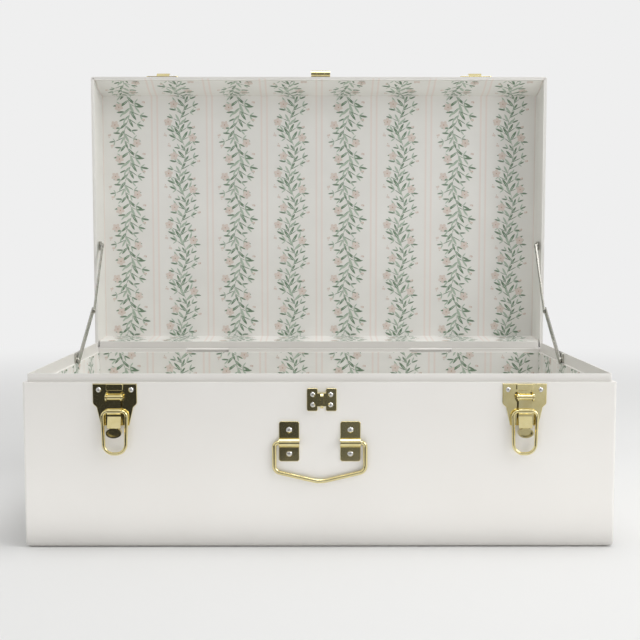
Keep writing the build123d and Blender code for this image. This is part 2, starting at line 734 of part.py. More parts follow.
# Hasp: leaf on the lid, pin, and a slotted strap that folds back on the lid or down over the staple
hasp_bore_radius = hasp_pin_radius + running_clearance
with BuildPart() as hasp_leaf:
    with BuildSketch(lid_front_plane(hasp_offset)):
        with Locations((0, hasp_knuckle_height + hasp_leaf_height / 2)):
            Rectangle(hasp_width, hasp_leaf_height)
    extrude(amount=hasp_leaf_thickness)
    fillet(hasp_leaf.edges().filter_by(Axis.Z).group_by(Axis.Y)[-1], 2.0)
    with BuildSketch(lid_side_plane(hasp_offset)):
        with Locations((hasp_knuckle_out, hasp_knuckle_height)):
            Circle(hasp_knuckle_radius)
    extrude(amount=hasp_width / 2, both=True)
    with BuildSketch(lid_side_plane(hasp_offset)):
        with Locations((hasp_knuckle_out, hasp_knuckle_height)):
            Circle(hasp_knuckle_radius + knuckle_gap)
    extrude(amount=hasp_middle_knuckle / 2 + knuckle_gap, both=True, mode=Mode.SUBTRACT)
    with BuildSketch(lid_side_plane(hasp_offset)):
        with Locations((hasp_knuckle_out, hasp_knuckle_height)):
            Circle(hasp_pin_radius)
    extrude(amount=hasp_width, both=True, mode=Mode.SUBTRACT)
    add(rivet_holes(hasp_rivet_faces, hasp_leaf_thickness, 0), mode=Mode.SUBTRACT)
write(hasp_leaf.part, "hasp_leaf")

with BuildPart() as hasp_pin:
    with BuildSketch(lid_side_plane(hasp_offset)):
        with Locations((hasp_knuckle_out, hasp_knuckle_height)):
            Circle(hasp_pin_radius)
    extrude(amount=hasp_width / 2, both=True)
write(hasp_pin.part, "hasp_pin")
write(rivet_group([p.offset(hasp_leaf_thickness) for p in hasp_rivet_faces], 0.7 * small_head_radius,
                  hasp_leaf_thickness + sheet), "hasp_rivets")

slot_reach = hasp_knuckle_height + seam_gap + (eye_top + eye_bottom) / 2
strap_shoulder = hasp_knuckle_radius + knuckle_gap + 0.5
with BuildPart() as hasp_strap:
    with BuildSketch(lid_front_plane(hasp_offset).offset(hasp_knuckle_out - hasp_strap_thickness / 2)):
        with Locations((0, hasp_knuckle_height + (strap_shoulder + hasp_strap_length) / 2)):
            Rectangle(hasp_width, hasp_strap_length - strap_shoulder)
        with Locations((0, hasp_knuckle_height + strap_shoulder / 2)):
            Rectangle(hasp_middle_knuckle, strap_shoulder + 1)
        with Locations((0, hasp_knuckle_height + slot_reach)):
            Rectangle(hasp_slot_width, hasp_slot_length, mode=Mode.SUBTRACT)
    extrude(amount=hasp_strap_thickness)
    with BuildSketch(lid_side_plane(hasp_offset)):
        with Locations((hasp_knuckle_out, hasp_knuckle_height)):
            Circle(hasp_knuckle_radius)
    extrude(amount=hasp_middle_knuckle / 2, both=True)
    with BuildSketch(lid_side_plane(hasp_offset)):
        lip_middle = hasp_knuckle_height + hasp_strap_length - hasp_strap_thickness / 2
        with Locations((hasp_knuckle_out + hasp_lip_rise / 2, lip_middle)):
            Rectangle(hasp_lip_rise, hasp_strap_thickness)
    extrude(amount=hasp_width / 2, both=True)
    with BuildSketch(lid_side_plane(hasp_offset)):
        with Locations((hasp_knuckle_out, hasp_knuckle_height)):
            Circle(hasp_bore_radius)
    extrude(amount=hasp_width, both=True, mode=Mode.SUBTRACT)
write(hasp_strap.part, "hasp_strap")

# Folding lid stays. Points are (forwards, up) from the hinge pin; the elbow is the open pivot.
circle = stay_pivot_circle
body_pivot = (circle, 0)
lid_pivot_closed = (circle, stay_lid_pivot_rise)
lid_pivot = (-lid_pivot_closed[1], lid_pivot_closed[0])


def elbow_between(low, high):
    """The elbow's place, on the hinge's side of the line between the two pivots."""
    span = hypot(high[0] - low[0], high[1] - low[1])
    sag = (stay_arm_length ** 2 - (span / 2) ** 2) ** 0.5
    along = ((high[0] - low[0]) / span, (high[1] - low[1]) / span)
    return ((low[0] + high[0]) / 2 - along[1] * sag, (low[1] + high[1]) / 2 + along[0] * sag)


def heading(start, end):
    return degrees(atan2(end[1] - start[1], end[0] - start[0])) % 360


elbow = elbow_between(body_pivot, lid_pivot)

lip_inner_x = trunk_width / 2 - lip_inner_inset
lower_outer_x = lip_inner_x - board - stay_wall_gap
upper_outer_x = lower_outer_x - stay_arm - stay_face_gap
upper_inner_x = upper_outer_x - stay_arm
bracket_leg_outer_x = lower_outer_x
bracket_leg_inner_x = upper_outer_x + stay_face_gap
lid_wall_x = lid_side_lining_x
bracket_bottom = -(hinge_z - lining_top) + stay_face_gap


def flat_arm(plane, start, end, radius, thickness, side):
    """A strip with round ends about two pivots, from the plane inwards."""
    with BuildPart() as arm:
        with BuildSketch(plane):
            with Locations(start, end):
                Circle(radius)
            make_hull()
        extrude(amount=side * thickness)
    return arm.part


for name, side in sides.items():
    with BuildPart() as body_bracket:
        with BuildSketch(stay_plane(side * lip_inner_x)):
            with Locations((body_pivot[0], (bracket_bottom + bracket_bottom + stay_bracket_rise) / 2)):
                RectangleRounded(2 * stay_bracket_half_length, stay_bracket_rise, 2.0)
        extrude(amount=side * board)
        with BuildSketch(stay_plane(side * lip_inner_x)):
            with Locations(body_pivot):
                Circle(stay_pin_radius)
        extrude(amount=side * board, mode=Mode.SUBTRACT)
    write(body_bracket.part, f"stay_body_bracket_{name}")

    with BuildPart() as lower_arm:
        add(flat_arm(stay_plane(side * lower_outer_x), body_pivot, elbow, stay_lower_radius, stay_arm, side))
        with BuildSketch(stay_plane(side * lower_outer_x)):
            with Locations(body_pivot):
                Circle(stay_pin_radius + running_clearance)
        extrude(amount=side * stay_arm, mode=Mode.SUBTRACT)
        with BuildSketch(stay_plane(side * lower_outer_x)):
            with Locations(elbow):
                Circle(stay_pin_head_radius)
        extrude(amount=-side * 0.5 * stay_wall_gap)
    write(lower_arm.part, f"stay_lower_arm_{name}")

    with BuildPart() as upper_arm:
        add(flat_arm(stay_plane(side * upper_outer_x), lid_pivot, elbow, stay_upper_radius, stay_arm, side))
        with BuildSketch(stay_plane(side * upper_outer_x)):
            with Locations(lid_pivot):
                Circle(stay_pin_radius + running_clearance)
        extrude(amount=side * stay_arm, mode=Mode.SUBTRACT)
        with BuildSketch(stay_plane(side * upper_inner_x)):
            with Locations(elbow):
                Circle(stay_pin_head_radius)
        extrude(amount=side * stay_pin_head)
    write(upper_arm.part, f"stay_upper_arm_{name}")

    # The lid's bracket steps in from the lining, so that the closed lid's lip passes behind its leg
    leg_thickness = lower_outer_x - bracket_leg_inner_x
    with BuildPart() as lid_bracket:
        with BuildSketch(stay_plane(side * bracket_leg_outer_x)):
            with Locations(lid_pivot):
                Circle(stay_bracket_leg_radius)
            with Locations((lid_pivot[0] - stay_bracket_leg_radius, lid_pivot[1])):
                Rectangle(2 * stay_bracket_leg_radius, 2 * stay_bracket_leg_radius)
        extrude(amount=side * leg_thickness)
        web_near = lid_pivot[0] - 2 * stay_bracket_leg_radius
        with BuildSketch(stay_plane(side * lid_wall_x)):
            with Locations((web_near + stay_bracket_sheet / 2, lid_pivot[1])):
                Rectangle(stay_bracket_sheet, 2 * stay_bracket_leg_radius)
        extrude(amount=side * (lid_wall_x - bracket_leg_inner_x))
        with BuildSketch(stay_plane(side * lid_wall_x)):
            with Locations((web_near - stay_bracket_foot_height / 2, lid_pivot[1])):
                RectangleRounded(stay_bracket_foot_height + 2 * stay_bracket_sheet, 3 * stay_bracket_leg_radius, 1.5)
        extrude(amount=side * stay_bracket_sheet)
        with BuildSketch(stay_plane(side * bracket_leg_outer_x)):
            with Locations(lid_pivot):
                Circle(stay_pin_radius)
        extrude(amount=side * leg_thickness, mode=Mode.SUBTRACT)
    write(lid_bracket.part, f"stay_lid_bracket_{name}")

# Stay pins: a head inside the arm and a shank to the outer face of what holds it
with BuildPart() as stay_body_pins:
    for side in sides.values():
        inner_x = lower_outer_x - stay_arm
        with BuildSketch(stay_plane(side * inner_x)):
            with Locations(body_pivot):
                Circle(stay_pin_head_radius)
        extrude(amount=side * stay_pin_head)
        with BuildSketch(stay_plane(side * inner_x)):
            with Locations(body_pivot):
                Circle(stay_pin_radius)
        extrude(amount=-side * (trunk_width / 2 - lip_inset - inner_x))
write(stay_body_pins.part, "stay_body_pins")

with BuildPart() as stay_lid_pins:
    for side in sides.values():
        with BuildSketch(stay_plane(side * upper_inner_x)):
            with Locations(lid_pivot):
                Circle(stay_pin_head_radius)
        extrude(amount=side * stay_pin_head)
        with BuildSketch(stay_plane(side * upper_inner_x)):
            with Locations(lid_pivot):
                Circle(stay_pin_radius)
        extrude(amount=-side * (bracket_leg_outer_x - upper_inner_x))
write(stay_lid_pins.part, "stay_lid_pins")
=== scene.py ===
import math
import random

import bpy
from mathutils import Matrix, Vector


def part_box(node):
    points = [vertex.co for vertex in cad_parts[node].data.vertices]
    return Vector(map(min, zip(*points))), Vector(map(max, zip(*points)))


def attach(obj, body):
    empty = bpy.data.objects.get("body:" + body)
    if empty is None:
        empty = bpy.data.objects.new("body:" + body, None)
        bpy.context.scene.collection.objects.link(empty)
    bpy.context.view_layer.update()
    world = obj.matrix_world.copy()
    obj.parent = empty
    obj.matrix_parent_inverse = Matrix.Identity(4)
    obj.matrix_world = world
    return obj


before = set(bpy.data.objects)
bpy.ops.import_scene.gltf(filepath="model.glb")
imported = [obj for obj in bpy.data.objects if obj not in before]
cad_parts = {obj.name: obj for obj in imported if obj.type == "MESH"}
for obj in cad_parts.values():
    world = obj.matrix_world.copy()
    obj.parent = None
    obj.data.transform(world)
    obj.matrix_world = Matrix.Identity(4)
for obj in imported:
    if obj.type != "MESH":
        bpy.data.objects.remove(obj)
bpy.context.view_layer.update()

mm = 0.001


def toLinear(hexColour, alpha=1.0):
    parts = [int(hexColour[i:i + 2], 16) / 255 for i in (1, 3, 5)]
    return [c / 12.92 if c <= 0.04045 else ((c + 0.055) / 1.055) ** 2.4 for c in parts] + [alpha]


def addNode(tree, kind, settings=None, values=None, links=None):
    node = tree.nodes.new(kind)
    for name, value in (settings or {}).items():
        setattr(node, name, value)
    for socket, value in (values or {}).items():
        node.inputs[socket].default_value = value
    for socket, source in (links or {}).items():
        tree.links.new(source, node.inputs[socket])
    return node


def newMaterial(name):
    material = bpy.data.materials.new(name)
    material.use_nodes = True
    material.node_tree.nodes.clear()
    return material, material.node_tree


def softStep(tree, value, low, high, levels=(0, 1)):
    # Runs from the first level at low to the second at high, without a hard edge
    step = addNode(tree, "ShaderNodeMapRange", {"interpolation_type": "SMOOTHSTEP"},
                   {"From Min": low, "From Max": high, "To Min": levels[0], "To Max": levels[1]},
                   {"Value": value})
    return step.outputs[0]


def closeMaterial(tree, shader):
    addNode(tree, "ShaderNodeOutputMaterial", links={"Surface": shader})


def dressNode(names, material):
    for name in names:
        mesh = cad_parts[name].data
        mesh.materials.clear()
        mesh.materials.append(material)


def selectOnly(*objs):
    bpy.ops.object.select_all(action="DESELECT")
    for obj in objs:
        obj.select_set(True)
    bpy.context.view_layer.objects.active = objs[-1]


bpy.ops.object.select_all(action="DESELECT")
sides = ("left", "right")

print("camera")
cameraFit = {
    "place": (-2.57 * mm, -1260.45 * mm, 307.55 * mm),
    "pitchDown": 4.675,
    "turn": -0.147,
    "lens": 60.79,
    "shiftY": 13.2 / 640,
}
bpy.ops.object.camera_add(
    location=cameraFit["place"],
    rotation=(math.radians(90 - cameraFit["pitchDown"]), 0, math.radians(cameraFit["turn"])),
)
camera = bpy.context.object
camera.name = "photoCamera"
camera.data.sensor_width = 36
camera.data.lens = cameraFit["lens"]
camera.data.shift_y = cameraFit["shiftY"]
camera.data.clip_start = 0.05
bpy.context.scene.camera = camera

print("steel enamel")
# Folded steel sheet, sprayed with white enamel and stoved: satin, with a very slight orange peel
enamel = {
    "colour": "#E9E7E3",
    "shade": "#E2DFDA",
    "roughness": (0.31, 0.39),
    "peelMm": 2.2,          # real orange peel is about 1 to 3 mm across
    "peelDepthMm": 0.1,
    "bump": 0.03,
    "cloudMm": 120,
}


def stovedEnamel():
    material, tree = newMaterial("stovedWhiteEnamel")
    place = addNode(tree, "ShaderNodeTexCoord").outputs["Object"]
    cloud = addNode(tree, "ShaderNodeTexNoise", values={"Scale": 1 / (enamel["cloudMm"] * mm), "Detail": 2.0},
                    links={"Vector": place})
    tone = addNode(tree, "ShaderNodeMix", {"data_type": "RGBA"},
                   {6: toLinear(enamel["colour"]), 7: toLinear(enamel["shade"])}, {0: cloud.outputs["Fac"]})
    peel = addNode(tree, "ShaderNodeTexNoise", values={"Scale": 1 / (enamel["peelMm"] * mm), "Detail": 1.0},
                   links={"Vector": place})
    bump = addNode(tree, "ShaderNodeBump",
                   values={"Strength": enamel["bump"], "Distance": enamel["peelDepthMm"] * mm},
                   links={"Height": peel.outputs["Fac"]})
    smooth, dull = enamel["roughness"]
    gloss = addNode(tree, "ShaderNodeMapRange", values={"To Min": smooth, "To Max": dull},
                    links={"Value": cloud.outputs["Fac"]})
    shader = addNode(tree, "ShaderNodeBsdfPrincipled", values={"IOR": 1.5},
                     links={"Base Color": tone.outputs[2], "Roughness": gloss.outputs[0],
                            "Normal": bump.outputs[0]})
    closeMaterial(tree, shader.outputs[0])
    return material


# The hinges were riveted on before spraying, and are white as well
sprayed = ["body_shell", "lip_frame", "lid_shell", "hinge_body_rivets", "hinge_lid_rivets"]
for side in sides:
    sprayed += [f"{name}_{side}" for name in ("hinge_body_leaf", "hinge_lid_leaf", "hinge_pin")]
dressNode(sprayed, stovedEnamel())

print("plated metals")
# Polishing marks are drawn coarser than the real ones, which are under 0.1 mm, so that they show
polish = {"bump": 0.04, "depthMm": 0.05}
# Pressed steel, plated and lacquered in pale brass: bright and warm
brass = {"colour": "#F3E9B9", "shade": "#E0CF91", "roughness": (0.07, 0.19), "markMm": 0.5, "stainMm": 9}
# Nickelled steel rivets: whiter than the brass round them
nickel = {"colour": "#DEDDDA", "shade": "#C4C3C0", "roughness": (0.11, 0.23), "markMm": 0.5, "stainMm": 4}
# Zinc-plated strip steel, rolled along its length: greyer and less sharp
zinc = {"colour": "#C6C5BE", "shade": "#A3A29A", "roughness": (0.15, 0.27), "markMm": 0.4, "stainMm": 12}


def platedMetal(name, look):
    material, tree = newMaterial(name)
    place = addNode(tree, "ShaderNodeTexCoord").outputs["Object"]
    stain = addNode(tree, "ShaderNodeTexNoise", values={"Scale": 1 / (look["stainMm"] * mm), "Detail": 3.0},
                    links={"Vector": place})
    tone = addNode(tree, "ShaderNodeMix", {"data_type": "RGBA"},
                   {6: toLinear(look["colour"]), 7: toLinear(look["shade"])}, {0: stain.outputs["Fac"]})
    marks = addNode(tree, "ShaderNodeTexNoise", values={"Scale": 1 / (look["markMm"] * mm), "Detail": 2.0},
                    links={"Vector": place})
    smooth, dull = look["roughness"]
    gloss = addNode(tree, "ShaderNodeMapRange", values={"To Min": smooth, "To Max": dull},
                    links={"Value": stain.outputs["Fac"]})
    bump = addNode(tree, "ShaderNodeBump",
                   values={"Strength": polish["bump"], "Distance": polish["depthMm"] * mm},
                   links={"Height": marks.outputs["Fac"]})
    shader = addNode(tree, "ShaderNodeBsdfPrincipled", values={"Metallic": 1.0},
                     links={"Base Color": tone.outputs[2], "Roughness": gloss.outputs[0],
                            "Normal": bump.outputs[0]})
    closeMaterial(tree, shader.outputs[0])
    return material


brassFittings = ["handle_bail", "hasp_leaf", "hasp_pin", "hasp_strap", "staple_plate"]
for side in sides:
    brassFittings += [f"{name}_{side}" for name in (
        "latch_plate", "latch_pin", "latch_lever", "latch_loop", "catch", "handle_strap")]
dressNode(brassFittings, platedMetal("paleBrassPlate", brass))
dressNode([f"{name}_rivets" for name in ("latch", "catch", "handle", "staple", "hasp")],
          platedMetal("nickelPlate", nickel))
stayPieces = ["stay_body_pins", "stay_lid_pins"]
for side in sides:
    stayPieces += [f"stay_{name}_{side}" for name in (
        "body_bracket", "lid_bracket", "lower_arm", "upper_arm")]
dressNode(stayPieces, platedMetal("zincStrip", zinc))

print("lining papers")
# Uncoated lining paper, pasted on board: white and matt, with a faint tooth, and printed pin stripes in pairs
paper = {
    "colour": "#F1F0EC",
    "shade": "#E7E5E0",
    "stripe": "#EADFD8",
    "pitchMm": 75,          # from one pair of pin stripes to the next
    "pairMm": 7.5,          # between the two stripes of a pair
    "stripeMm": 2.2,
    "stripeEdge": (0.85, 0.15),     # from its middle to where its ink begins and is full, in stripe widths
    "stripeInk": 0.85,
    "cloudMm": 60,
    "toothMm": 0.8,         # real tooth is about 0.2 mm, and is drawn coarser, so that it shows close up
    "toothDepthMm": 0.1,
    "bump": 0.08,
    "roughness": 0.72,
}


def liningPaper(name, acrossAxis):
    material, tree = newMaterial(name)
    place = addNode(tree, "ShaderNodeTexCoord").outputs["Object"]
    cloud = addNode(tree, "ShaderNodeTexNoise", values={"Scale": 1 / (paper["cloudMm"] * mm), "Detail": 3.0},
                    links={"Vector": place})
    ground = addNode(tree, "ShaderNodeMix", {"data_type": "RGBA"},
                     {6: toLinear(paper["colour"]), 7: toLinear(paper["shade"])}, {0: cloud.outputs["Fac"]})
    colour = ground.outputs[2]
    if acrossAxis:
        axes = addNode(tree, "ShaderNodeSeparateXYZ", links={"Vector": place})
        # Distance from the nearest middle of a pair, then from the nearest of its two stripes
        fromPair = addNode(tree, "ShaderNodeMath", {"operation": "PINGPONG"}, {1: paper["pitchMm"] / 2 * mm},
                           {0: axes.outputs[acrossAxis]})
        offset = addNode(tree, "ShaderNodeMath", {"operation": "SUBTRACT"}, {1: paper["pairMm"] / 2 * mm},
                         {0: fromPair.outputs[0]})
        away = addNode(tree, "ShaderNodeMath", {"operation": "ABSOLUTE"}, links={0: offset.outputs[0]})
        bare, full = [paper["stripeMm"] * share * mm for share in paper["stripeEdge"]]
        ink = addNode(tree, "ShaderNodeMapRange",
                      values={"From Min": bare, "From Max": full, "To Max": paper["stripeInk"]},
                      links={"Value": away.outputs[0]})
        printed = addNode(tree, "ShaderNodeMix", {"data_type": "RGBA"}, {7: toLinear(paper["stripe"])},
                          {0: ink.outputs[0], 6: colour})
        colour = printed.outputs[2]
    tooth = addNode(tree, "ShaderNodeTexNoise", values={"Scale": 1 / (paper["toothMm"] * mm), "Detail": 2.0},
                    links={"Vector": place})
    bump = addNode(tree, "ShaderNodeBump",
                   values={"Strength": paper["bump"], "Distance": paper["toothDepthMm"] * mm},
                   links={"Height": tooth.outputs["Fac"]})
    shader = addNode(tree, "ShaderNodeBsdfPrincipled", values={"Roughness": paper["roughness"],
                                                              "Specular IOR Level": 0.3},
                     links={"Base Color": colour, "Normal": bump.outputs[0]})
    closeMaterial(tree, shader.outputs[0])
    return material


dressNode(["lid_top_lining", "lid_front_lining", "lid_rear_lining", "body_front_lining", "body_rear_lining",
           "body_floor_lining"], liningPaper("stripedLiningPaper", "X"))
dressNode(["body_left_lining", "body_right_lining"], liningPaper("stripedSidePaper", "Y"))
dressNode(["lid_left_lining", "lid_right_lining"], liningPaper("plainLiningPaper", None))

print("printed garlands")
# Flat printing ink on the paper, in the four tones of the garland, each a little uneven
inkBlotMm = 7
inks = {
    "leafInk": ("#647F64", "#889C87"),
    "paleLeafInk": ("#AEBDAC", "#BFCBBC"),
    "petalInk": ("#DACDC4", "#E4DAD2"),
    "heartInk": ("#BC9C84", "#CBB09C"),
}


def printingInk(name, tones):
    material, tree = newMaterial(name)
    place = addNode(tree, "ShaderNodeTexCoord").outputs["Object"]
    blot = addNode(tree, "ShaderNodeTexNoise", values={"Scale": 1 / (inkBlotMm * mm), "Detail": 2.0},
                   links={"Vector": place})
    tone = addNode(tree, "ShaderNodeMix", {"data_type": "RGBA"},
                   {6: toLinear(tones[0]), 7: toLinear(tones[1])}, {0: blot.outputs["Fac"]})
    shader = addNode(tree, "ShaderNodeBsdfPrincipled", values={"Roughness": 0.7, "Specular IOR Level": 0.3},
                     links={"Base Color": tone.outputs[2]})
    closeMaterial(tree, shader.outputs[0])
    return material


inkMaterials = {name: printingInk(name, tones) for name, tones in inks.items()}

garland = {
    "pitchMm": 75,              # between columns
    "repeatMm": 70,             # along a column
    "cellsAcross": 5,           # a cell is two columns wide and one repeat high
    "cellsUp": 6,
    "liftMm": 0.12,             # the ink's sheet stands this far off the paper
    "layerMm": 0.0005,          # on a flat board, each piece lies this far off the one before
    # Flowers lie over leaves. The leaves of a stem's two hands lie this far above and below its middle
    "heightMm": {"sideStem": 0.005, "leaf": 0.01, "sideLeaf": 0.02, "innerLeaf": 0.025,
                 "petal": 0.03, "heart": 0.04},
    "swayMm": 4.5,
    "phases": (0.0, 2.2),
    "stemMm": 0.7,
    "stemLengthMm": 10,
    "stemSteps": 10,
    "stemShare": 0.78,          # a step is shorter than a stem piece, and this leaves a short overlap
    "leafPairs": 7,
    "firstPair": 0.3,           # as a share of the way to the next
    "handStepMm": 2.4,          # the leaf on the right stands this much above the pair's middle
    "leafMm": 14,
    "leafWidthMm": 3.1,
    "leafTip": 0.55,
    "leafSizes": (0.75, 1.1),
    "innerLeaf": (0.62, 0.4),   # its length and width, as shares of the leaf round it
    "leafLean": 34,
    "leafLeanPlay": (-14, 18),
    "sideLean": 58,
    "sideLeanPlay": (-10, 10),
    "sideReachMm": (8.5, 13.5),
    "sideReachPlayMm": (-1.5, 1.5),
    # Tone, turn and size of the leaves on a side stem. The third is only on a long one
    "sideLeaves": (("dark", 78, 0.78), ("pale", 28, 0.7), ("pale", 128, 0.5)),
    "sideLeafPlay": (-16, 16),
    "longSideStemMm": 11,
    "petals": 5,
    "petalTurn": 14,
    "petalMm": 6.2,
    "petalWidthMm": 6.2 * 0.72,
    "heartMm": 1.8,
    # Each flower and bud has a hand, and a place as a share of the repeat
    "flowerOutMm": 15.5,
    "flowers": ((-1, 0.2), (1, 0.55), (-1, 0.86)),
    "budOutMm": 20,
    "buds": ((1, 0.08), (-1, 0.42), (1, 0.74), (-1, 0.62)),
    "budPetals": ((60, 0.6), (130, 0.5)),       # turn and size
    "budHeart": (1, 1.5, 0.6),                  # millimetres out and up from the petals' foot, and size
    "seed": 11,
}


def flatLeaf(name, length, width, ink):
    # A disc drawn out to a leaf, whose ends are pinched to points. Its foot is at the origin
    bpy.ops.object.select_all(action="DESELECT")
    bpy.ops.mesh.primitive_circle_add(vertices=12, radius=0.5, fill_type="NGON")
    leaf = bpy.context.object
    leaf.name = name
    bpy.ops.object.mode_set(mode="EDIT")
    bpy.ops.mesh.select_all(action="SELECT")
    bpy.ops.transform.resize(value=(length, width, 1))
    bpy.ops.mesh.select_all(action="DESELECT")
    bpy.ops.object.mode_set(mode="OBJECT")
    for vertex in leaf.data.vertices:
        vertex.select = 0.4 * length < abs(vertex.co.x) < 0.49 * length        # the points beside each tip
    bpy.ops.object.mode_set(mode="EDIT")
    bpy.ops.transform.resize(value=(1, garland["leafTip"], 1), center_override=(0, 0, 0))
    bpy.ops.mesh.select_all(action="SELECT")
    bpy.ops.transform.translate(value=(length / 2, 0, 0))
    bpy.ops.object.mode_set(mode="OBJECT")
    leaf.data.materials.append(inkMaterials[ink])
    return leaf


def layCopy(source, x, y, turn, size=1.0, z=0.0):
    copy = source.copy()
    copy.data = source.data.copy()
    bpy.context.collection.objects.link(copy)
    turned = Matrix.Rotation(math.radians(turn), 4, "Z") @ Matrix.Scale(size, 4)
    copy.matrix_world = Matrix.Translation((x * mm, y * mm, z * mm)) @ turned
    return copy


def joinAll(objs, name):
    selectOnly(*objs)
    bpy.ops.object.join()
    joined = bpy.context.object
    joined.name = name
    bpy.ops.object.transform_apply(location=True, rotation=True, scale=True)
    return joined


def garlandCell():
    # Two neighbouring columns, one repeat long, on the XY plane and growing along +Y. The second is flipped
    chance = random.Random(garland["seed"])
    leafLength, leafWidth = garland["leafMm"] * mm, garland["leafWidthMm"] * mm
    darkLeaf = flatLeaf("darkLeaf", leafLength, leafWidth, "leafInk")
    paleLeaf = flatLeaf("paleLeaf", leafLength, leafWidth, "paleLeafInk")
    innerLength, innerWidth = garland["innerLeaf"]
    innerLeaf = flatLeaf("innerLeaf", leafLength * innerLength, leafWidth * innerWidth, "paleLeafInk")
    petal = flatLeaf("petal", garland["petalMm"] * mm, garland["petalWidthMm"] * mm, "petalInk")
    heart = flatLeaf("heart", garland["heartMm"] * mm, garland["heartMm"] * mm, "heartInk")
    stemPiece = flatLeaf("stemPiece", garland["stemLengthMm"] * mm, garland["stemMm"] * mm, "leafInk")
    leaves = {"dark": darkLeaf, "pale": paleLeaf}
    repeat, height = garland["repeatMm"], garland["heightMm"]
    laid = []

    def column(middle, flip, phase):
        def sway(y):
            return garland["swayMm"] * math.sin(2 * math.pi * y / repeat + phase)

        def lay(source, x, y, turn, size=1.0, z=0.0):
            if flip:
                y, turn = repeat - y, -turn
            laid.append(layCopy(source, middle + x, y, turn, size, z + garland["layerMm"] * len(laid)))

        def sprig(y, hand, tone, reach):
            # A leaf with a pale middle, and two or three more further out on a short side stem
            size = chance.uniform(*garland["leafSizes"])
            lean = 90 - hand * (garland["leafLean"] + chance.uniform(*garland["leafLeanPlay"]))
            lay(leaves[tone], sway(y), y, lean, size, height["leaf"] * hand)
            lay(innerLeaf, sway(y), y, lean, size, height["innerLeaf"])
            reach += chance.uniform(*garland["sideReachPlayMm"])
            away = math.radians(90 - hand * (garland["sideLean"] + chance.uniform(*garland["sideLeanPlay"])))
            x2, y2 = sway(y) + reach * math.cos(away), y + reach * math.sin(away)
            stretch = reach / garland["stemLengthMm"]
            lay(stemPiece, sway(y), y, math.degrees(away), stretch, height["sideStem"])
            count = 3 if reach > garland["longSideStemMm"] else 2
            for sideTone, turn, share in garland["sideLeaves"][:count]:
                turn = 90 - hand * (turn + chance.uniform(*garland["sideLeafPlay"]))
                lay(leaves[sideTone], x2, y2, turn, size * share, height["sideLeaf"])

        steps = garland["stemSteps"]
        for step in range(steps):
            low, high = step * repeat / steps, (step + 1) * repeat / steps
            turn = math.degrees(math.atan2(high - low, sway(high) - sway(low)))
            lay(stemPiece, sway(low), low, turn, garland["stemShare"])
        for pair in range(garland["leafPairs"]):
            y = (pair + garland["firstPair"]) * repeat / garland["leafPairs"]
            for hand in (-1, 1):
                count = pair + (hand > 0)
                tone = "pale" if count % 3 == 0 else "dark"
                sprig(y + hand * garland["handStepMm"], hand, tone, garland["sideReachMm"][count % 2])
        for hand, share in garland["flowers"]:
            y = repeat * share
            x = sway(y) + hand * garland["flowerOutMm"]
            for number in range(garland["petals"]):
                turn = number * 360 / garland["petals"] + garland["petalTurn"]
                lay(petal, x, y, turn, 1.0, height["petal"])
            lay(heart, x - garland["heartMm"] / 2, y, 0, 1.0, height["heart"])
        for hand, share in garland["buds"]:
            y = repeat * share
            x = sway(y) + hand * garland["budOutMm"]
            for turn, size in garland["budPetals"]:
                lay(petal, x, y, turn * hand, size, height["petal"])
            out, up, size = garland["budHeart"]
            lay(heart, x + hand * out, y + up, 0, size, height["heart"])

    for hand, flip, phase in ((-1, False, garland["phases"][0]), (1, True, garland["phases"][1])):
        column(hand * garland["pitchMm"] / 2, flip, phase)
    cell = joinAll(laid, "garlandCell")
    for source in (darkLeaf, paleLeaf, innerLeaf, petal, heart, stemPiece):
        bpy.data.objects.remove(source)
    return cell


def trimTo(obj, axis, low, high):
    # Everything outside low to high along an axis is cut away
    normal = Vector((axis == 0, axis == 1, axis == 2))
    for edge, away in ((low, -1), (high, 1)):
        selectOnly(obj)
        bpy.ops.object.mode_set(mode="EDIT")
        bpy.ops.mesh.select_all(action="SELECT")
        bpy.ops.mesh.bisect(plane_co=normal * edge, plane_no=normal * away, clear_outer=True)
        bpy.ops.object.mode_set(mode="OBJECT")


def printOn(name, cell, body, placing, limits, lining=None, along=None):
    # Repeats the cell over a panel, carries it there and trims it to the panel's edges.
    # On a bowed or leaning board the sheet is then laid down onto the lining, up or down along Z
    sheet = cell.copy()
    sheet.data = cell.data.copy()
    bpy.context.collection.objects.link(sheet)
    sheet.name = name
    selectOnly(sheet)
    cellWidth, cellHeight = 2 * garland["pitchMm"] * mm, garland["repeatMm"] * mm
    across, up = garland["cellsAcross"], garland["cellsUp"]
    for axis, count, step in ((0, across, cellWidth), (1, up, cellHeight)):
        rows = sheet.modifiers.new("rows", "ARRAY")
        rows.count = count
        rows.use_relative_offset = False
        rows.use_constant_offset = True
        rows.constant_offset_displace = [step if axis == i else 0 for i in range(3)]
        bpy.ops.object.modifier_apply(modifier=rows.name)
    start = ((1 - across) / 2 * cellWidth, -up / 2 * cellHeight, 0)
    sheet.matrix_world = placing @ Matrix.Translation(start)
    bpy.ops.object.transform_apply(location=True, rotation=True, scale=True)
    for axis, (low, high) in limits.items():
        trimTo(sheet, axis, low * mm, high * mm)
    if lining:
        wrap = sheet.modifiers.new("wrap", "SHRINKWRAP")
        wrap.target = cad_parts[lining]
        wrap.wrap_method = "PROJECT"
        wrap.use_project_z = True
        wrap.use_negative_direction = along < 0
        wrap.use_positive_direction = along > 0
        wrap.offset = garland["liftMm"] * mm
        selectOnly(sheet)
        bpy.ops.object.modifier_apply(modifier=wrap.name)
    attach(sheet, body)
    return sheet


def facing(origin, xWay, yWay):
    # A placing whose local X and Y run the given ways, so that local Z is the way the print faces
    xWay, yWay = Vector(xWay), Vector(yWay)
    zWay = xWay.cross(yWay)
    placing = Matrix((xWay, yWay, zWay)).transposed().to_4x4()
    placing.translation = Vector(origin) * mm
    return placing


